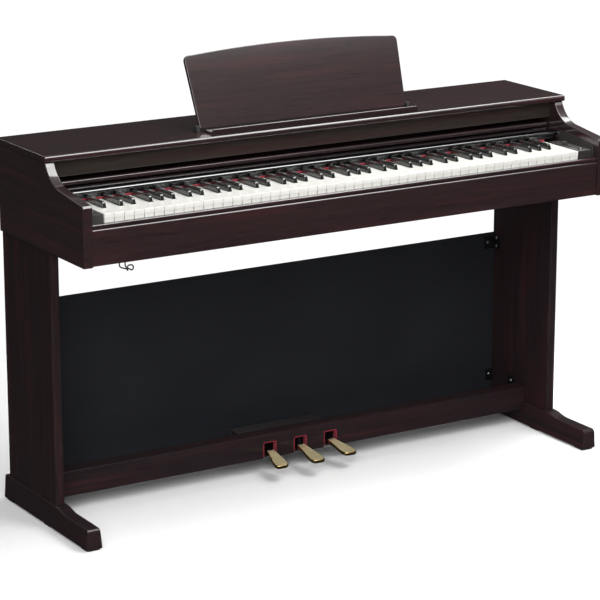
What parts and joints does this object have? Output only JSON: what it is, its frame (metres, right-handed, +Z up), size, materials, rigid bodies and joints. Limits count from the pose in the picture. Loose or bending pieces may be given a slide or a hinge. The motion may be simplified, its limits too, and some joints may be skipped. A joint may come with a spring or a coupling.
{
  "type": "digital piano on stand",
  "caption": "Slim upright-style digital piano on a two-legged stand, with a sliding key cover, folding music rest and pedals.",
  "frame": {"origin": "on the floor under the middle of the whole piano's bounding box", "axes": "+X to the right of a seated player, along the keyboard; -Y towards the player; +Z up"},
  "size_m": [1.357, 0.422, 1.0026],
  "materials": {
    "left_side_panel": "satin dark rosewood laminate",
    "right_side_panel": "satin dark rosewood laminate",
    "top_board": "satin dark rosewood laminate",
    "name_board": "satin dark rosewood laminate",
    "key_slip": "satin dark rosewood laminate",
    "key_cover": "satin dark rosewood laminate",
    "music_rest": "satin dark rosewood laminate",
    "music_ledge": "satin dark rosewood laminate",
    "left_leg": "satin dark rosewood laminate",
    "right_leg": "satin dark rosewood laminate",
    "left_foot": "satin dark rosewood laminate",
    "right_foot": "satin dark rosewood laminate",
    "pedal_rail": "satin dark rosewood laminate",
    "back_board": "black laminated board",
    "bottom_board": "black laminated board",
    "rear_panel": "black laminated board",
    "control_panel": "polished black",
    "left_end_block": "fine matte moulded",
    "right_end_block": "fine matte moulded",
    "demo_button": "fine matte moulded",
    "voice_button": "fine matte moulded",
    "metronome_button": "fine matte moulded",
    "record_button": "fine matte moulded",
    "power_button": "fine matte moulded",
    "volume_slider": "fine matte moulded",
    "jack_box": "fine matte moulded",
    "height_adjuster": "fine matte moulded",
    "pedal_housing": "fine matte moulded",
    "left_speaker": "pressed black frame and paper cone",
    "right_speaker": "pressed black frame and paper cone",
    "key_felt": "woven red felt",
    "soft_pedal": "polished, pale gold",
    "sostenuto_pedal": "polished, pale gold",
    "damper_pedal": "polished, pale gold",
    "pedal_base_plate": "plain sheet",
    "pedal_axle": "plain sheet",
    "key_frame": "unfinished plywood deck and rails",
    "headphone_hook": "gloss black enamel",
    "left_rest_prop": "gloss black enamel",
    "right_rest_prop": "gloss black enamel",
    "bass_white_keys": "smooth ivory white",
    "tenor_white_keys": "smooth ivory white",
    "treble_white_keys": "smooth ivory white",
    "top_white_keys": "smooth ivory white",
    "key_c4": "smooth ivory white",
    "key_d4": "smooth ivory white",
    "key_e4": "smooth ivory white",
    "key_f4": "smooth ivory white",
    "key_g4": "smooth ivory white",
    "key_a4": "smooth ivory white",
    "key_b4": "smooth ivory white",
    "bass_black_keys": "satin black",
    "tenor_black_keys": "satin black",
    "treble_black_keys": "satin black",
    "top_black_keys": "satin black",
    "key_c_sharp4": "satin black",
    "key_d_sharp4": "satin black",
    "key_f_sharp4": "satin black",
    "key_g_sharp4": "satin black",
    "key_a_sharp4": "satin black"
  },
  "bodies": {
    "piano": {"left_side_panel": "left_side_panel", "right_side_panel": "right_side_panel", "top_board": "top_board", "name_board": "name_board", "key_slip": "key_slip", "music_ledge": "music_ledge", "left_leg": "left_leg", "right_leg": "right_leg", "left_foot": "left_foot", "right_foot": "right_foot", "pedal_rail": "pedal_rail", "back_board": "back_board", "bottom_board": "bottom_board", "rear_panel": "rear_panel", "control_panel": "control_panel", "left_end_block": "left_end_block", "right_end_block": "right_end_block", "jack_box": "jack_box", "pedal_housing": "pedal_housing", "left_speaker": "left_speaker", "right_speaker": "right_speaker", "key_felt": "key_felt", "pedal_base_plate": "pedal_base_plate", "pedal_axle": "pedal_axle", "key_frame": "key_frame", "headphone_hook": "headphone_hook"},
    "bass_white_keys": {"bass_white_keys": "bass_white_keys"},
    "tenor_white_keys": {"tenor_white_keys": "tenor_white_keys"},
    "treble_white_keys": {"treble_white_keys": "treble_white_keys"},
    "top_white_keys": {"top_white_keys": "top_white_keys"},
    "key_c4": {"key_c4": "key_c4"},
    "key_d4": {"key_d4": "key_d4"},
    "key_e4": {"key_e4": "key_e4"},
    "key_f4": {"key_f4": "key_f4"},
    "key_g4": {"key_g4": "key_g4"},
    "key_a4": {"key_a4": "key_a4"},
    "key_b4": {"key_b4": "key_b4"},
    "bass_black_keys": {"bass_black_keys": "bass_black_keys"},
    "tenor_black_keys": {"tenor_black_keys": "tenor_black_keys"},
    "treble_black_keys": {"treble_black_keys": "treble_black_keys"},
    "top_black_keys": {"top_black_keys": "top_black_keys"},
    "key_c_sharp4": {"key_c_sharp4": "key_c_sharp4"},
    "key_d_sharp4": {"key_d_sharp4": "key_d_sharp4"},
    "key_f_sharp4": {"key_f_sharp4": "key_f_sharp4"},
    "key_g_sharp4": {"key_g_sharp4": "key_g_sharp4"},
    "key_a_sharp4": {"key_a_sharp4": "key_a_sharp4"},
    "soft_pedal": {"soft_pedal": "soft_pedal"},
    "sostenuto_pedal": {"sostenuto_pedal": "sostenuto_pedal"},
    "damper_pedal": {"damper_pedal": "damper_pedal"},
    "key_cover": {"key_cover": "key_cover"},
    "music_rest": {"music_rest": "music_rest"},
    "left_rest_prop": {"left_rest_prop": "left_rest_prop"},
    "right_rest_prop": {"right_rest_prop": "right_rest_prop"},
    "volume_slider": {"volume_slider": "volume_slider"},
    "power_button": {"power_button": "power_button"},
    "demo_button": {"demo_button": "demo_button"},
    "voice_button": {"voice_button": "voice_button"},
    "metronome_button": {"metronome_button": "metronome_button"},
    "record_button": {"record_button": "record_button"},
    "height_adjuster": {"height_adjuster": "height_adjuster"}
  },
  "joints": [
    {"name": "bass_white_press", "type": "hinge", "parent": "piano", "child": "bass_white_keys", "pos_m": [0, 0.095, 0.712], "axis": [1, 0, 0], "range_deg": [0, 2], "stiffness_Nm_per_rad": 10.683, "springref_deg": -5.73},
    {"name": "tenor_white_press", "type": "hinge", "parent": "piano", "child": "tenor_white_keys", "pos_m": [0, 0.095, 0.712], "axis": [1, 0, 0], "range_deg": [0, 2], "stiffness_Nm_per_rad": 16.618, "springref_deg": -5.73},
    {"name": "treble_white_press", "type": "hinge", "parent": "piano", "child": "treble_white_keys", "pos_m": [0, 0.095, 0.712], "axis": [1, 0, 0], "range_deg": [0, 2], "stiffness_Nm_per_rad": 16.618, "springref_deg": -5.73},
    {"name": "top_white_press", "type": "hinge", "parent": "piano", "child": "top_white_keys", "pos_m": [0, 0.095, 0.712], "axis": [1, 0, 0], "range_deg": [0, 2], "stiffness_Nm_per_rad": 9.496, "springref_deg": -5.73},
    {"name": "key_c4_press", "type": "hinge", "parent": "piano", "child": "key_c4", "pos_m": [0, 0.095, 0.712], "axis": [1, 0, 0], "range_deg": [0, 2], "stiffness_Nm_per_rad": 1.187, "springref_deg": -5.73},
    {"name": "key_d4_press", "type": "hinge", "parent": "piano", "child": "key_d4", "pos_m": [0, 0.095, 0.712], "axis": [1, 0, 0], "range_deg": [0, 2], "stiffness_Nm_per_rad": 1.187, "springref_deg": -5.73},
    {"name": "key_e4_press", "type": "hinge", "parent": "piano", "child": "key_e4", "pos_m": [0, 0.095, 0.712], "axis": [1, 0, 0], "range_deg": [0, 2], "stiffness_Nm_per_rad": 1.187, "springref_deg": -5.73},
    {"name": "key_f4_press", "type": "hinge", "parent": "piano", "child": "key_f4", "pos_m": [0, 0.095, 0.712], "axis": [1, 0, 0], "range_deg": [0, 2], "stiffness_Nm_per_rad": 1.187, "springref_deg": -5.73},
    {"name": "key_g4_press", "type": "hinge", "parent": "piano", "child": "key_g4", "pos_m": [0, 0.095, 0.712], "axis": [1, 0, 0], "range_deg": [0, 2], "stiffness_Nm_per_rad": 1.187, "springref_deg": -5.73},
    {"name": "key_a4_press", "type": "hinge", "parent": "piano", "child": "key_a4", "pos_m": [0, 0.095, 0.712], "axis": [1, 0, 0], "range_deg": [0, 2], "stiffness_Nm_per_rad": 1.187, "springref_deg": -5.73},
    {"name": "key_b4_press", "type": "hinge", "parent": "piano", "child": "key_b4", "pos_m": [0, 0.095, 0.712], "axis": [1, 0, 0], "range_deg": [0, 2], "stiffness_Nm_per_rad": 1.187, "springref_deg": -5.73},
    {"name": "bass_black_press", "type": "hinge", "parent": "piano", "child": "bass_black_keys", "pos_m": [0, 0.095, 0.7225], "axis": [1, 0, 0], "range_deg": [0, 2.3], "stiffness_Nm_per_rad": 3.626, "springref_deg": -5.73},
    {"name": "tenor_black_press", "type": "hinge", "parent": "piano", "child": "tenor_black_keys", "pos_m": [0, 0.095, 0.7225], "axis": [1, 0, 0], "range_deg": [0, 2.3], "stiffness_Nm_per_rad": 5.18, "springref_deg": -5.73},
    {"name": "treble_black_press", "type": "hinge", "parent": "piano", "child": "treble_black_keys", "pos_m": [0, 0.095, 0.7225], "axis": [1, 0, 0], "range_deg": [0, 2.3], "stiffness_Nm_per_rad": 5.18, "springref_deg": -5.73},
    {"name": "top_black_press", "type": "hinge", "parent": "piano", "child": "top_black_keys", "pos_m": [0, 0.095, 0.7225], "axis": [1, 0, 0], "range_deg": [0, 2.3], "stiffness_Nm_per_rad": 2.59, "springref_deg": -5.73},
    {"name": "key_c_sharp4_press", "type": "hinge", "parent": "piano", "child": "key_c_sharp4", "pos_m": [0, 0.095, 0.7225], "axis": [1, 0, 0], "range_deg": [0, 2.3], "stiffness_Nm_per_rad": 0.518, "springref_deg": -5.73},
    {"name": "key_d_sharp4_press", "type": "hinge", "parent": "piano", "child": "key_d_sharp4", "pos_m": [0, 0.095, 0.7225], "axis": [1, 0, 0], "range_deg": [0, 2.3], "stiffness_Nm_per_rad": 0.518, "springref_deg": -5.73},
    {"name": "key_f_sharp4_press", "type": "hinge", "parent": "piano", "child": "key_f_sharp4", "pos_m": [0, 0.095, 0.7225], "axis": [1, 0, 0], "range_deg": [0, 2.3], "stiffness_Nm_per_rad": 0.518, "springref_deg": -5.73},
    {"name": "key_g_sharp4_press", "type": "hinge", "parent": "piano", "child": "key_g_sharp4", "pos_m": [0, 0.095, 0.7225], "axis": [1, 0, 0], "range_deg": [0, 2.3], "stiffness_Nm_per_rad": 0.518, "springref_deg": -5.73},
    {"name": "key_a_sharp4_press", "type": "hinge", "parent": "piano", "child": "key_a_sharp4", "pos_m": [0, 0.095, 0.7225], "axis": [1, 0, 0], "range_deg": [0, 2.3], "stiffness_Nm_per_rad": 0.518, "springref_deg": -5.73},
    {"name": "soft_pedal_press", "type": "hinge", "parent": "piano", "child": "soft_pedal", "pos_m": [0, 0.155, 0.056], "axis": [1, 0, 0], "range_deg": [0, 4], "stiffness_Nm_per_rad": 6, "springref_deg": -6.88},
    {"name": "sostenuto_pedal_press", "type": "hinge", "parent": "piano", "child": "sostenuto_pedal", "pos_m": [0, 0.155, 0.056], "axis": [1, 0, 0], "range_deg": [0, 4], "stiffness_Nm_per_rad": 6, "springref_deg": -6.88},
    {"name": "damper_pedal_press", "type": "hinge", "parent": "piano", "child": "damper_pedal", "pos_m": [0, 0.155, 0.056], "axis": [1, 0, 0], "range_deg": [0, 4], "stiffness_Nm_per_rad": 6, "springref_deg": -6.88},
    {"name": "key_cover_slide", "type": "slide", "parent": "piano", "child": "key_cover", "axis": [0, -0.9923, -0.124], "range_m": [0, 0.163]},
    {"name": "music_rest_tilt", "type": "hinge", "parent": "piano", "child": "music_rest", "pos_m": [0, 0.0245, 0.8402], "axis": [1, 0, 0], "range_deg": [-70, 0]},
    {"name": "volume_slide", "type": "slide", "parent": "piano", "child": "volume_slider", "axis": [0, 1, 0], "range_m": [-0.018, 0.018]},
    {"name": "power_button_press", "type": "slide", "parent": "piano", "child": "power_button", "axis": [0, 0, -1], "range_m": [0, 0.0012], "stiffness_N_per_m": 300, "springref_m": -0.001},
    {"name": "demo_button_press", "type": "slide", "parent": "piano", "child": "demo_button", "axis": [0, 0, -1], "range_m": [0, 0.0012], "stiffness_N_per_m": 300, "springref_m": -0.001},
    {"name": "voice_button_press", "type": "slide", "parent": "piano", "child": "voice_button", "axis": [0, 0, -1], "range_m": [0, 0.0012], "stiffness_N_per_m": 300, "springref_m": -0.001},
    {"name": "metronome_button_press", "type": "slide", "parent": "piano", "child": "metronome_button", "axis": [0, 0, -1], "range_m": [0, 0.0012], "stiffness_N_per_m": 300, "springref_m": -0.001},
    {"name": "record_button_press", "type": "slide", "parent": "piano", "child": "record_button", "axis": [0, 0, -1], "range_m": [0, 0.0012], "stiffness_N_per_m": 300, "springref_m": -0.001},
    {"name": "height_adjuster_screw", "type": "slide", "parent": "piano", "child": "height_adjuster", "axis": [0, 0, -1], "range_m": [0, 0.0285]},
    {"name": "left_rest_prop_fold", "type": "hinge", "parent": "music_rest", "child": "left_rest_prop", "pos_m": [-0.15, 0.05644, 0.91158], "axis": [1, 0, 0], "range_deg": [-0.5, 138]},
    {"name": "right_rest_prop_fold", "type": "hinge", "parent": "music_rest", "child": "right_rest_prop", "pos_m": [0.15, 0.05644, 0.91158], "axis": [1, 0, 0], "range_deg": [-0.5, 138]}
  ],
  "couplings": [
    {"joint": "left_rest_prop_fold", "follows": "music_rest_tilt", "ratio": -1.9571},
    {"joint": "right_rest_prop_fold", "follows": "music_rest_tilt", "ratio": -1.9571}
  ]
}
